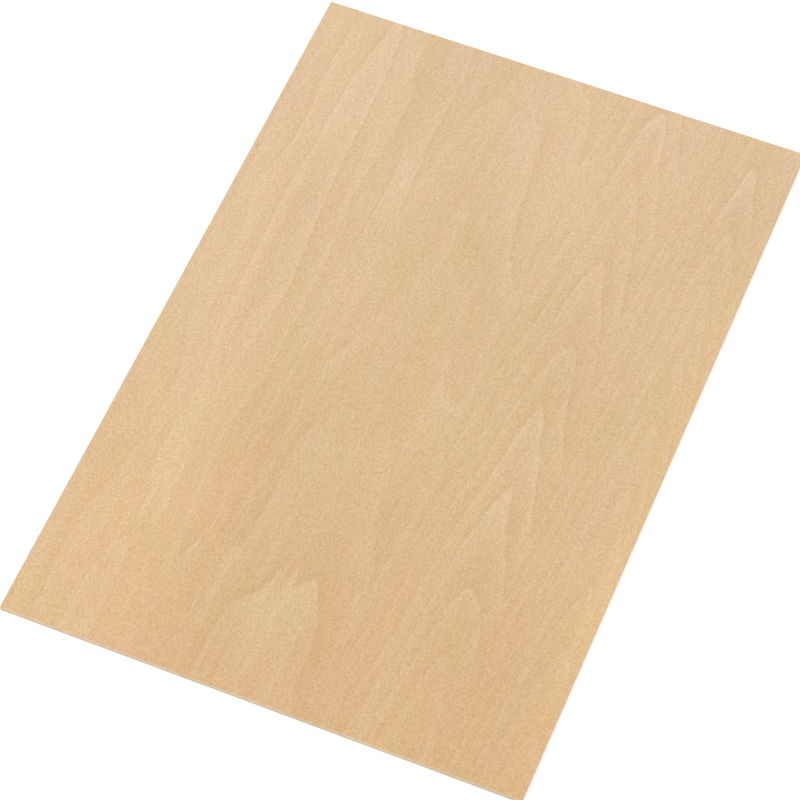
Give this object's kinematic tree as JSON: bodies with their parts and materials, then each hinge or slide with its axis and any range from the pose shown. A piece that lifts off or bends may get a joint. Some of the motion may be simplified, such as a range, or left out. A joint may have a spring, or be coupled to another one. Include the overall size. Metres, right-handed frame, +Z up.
{
  "type": "balsa wood sheet",
  "caption": "Flat rectangular sheet of balsa wood, sawn square with lightly eased edges and its grain along its length, for cutting and gluing.",
  "frame": {"origin": "centre of the underside, the face that the sheet rests on", "axes": "+Y along the grain, which is the length, +X across the grain, which is the width, +Z up through the thickness"},
  "size_m": [0.2, 0.3, 0.002],
  "materials": {
    "balsa": "sanded, unfinished"
  },
  "bodies": {
    "root": {"sheet": "balsa"}
  },
  "joints": []
}
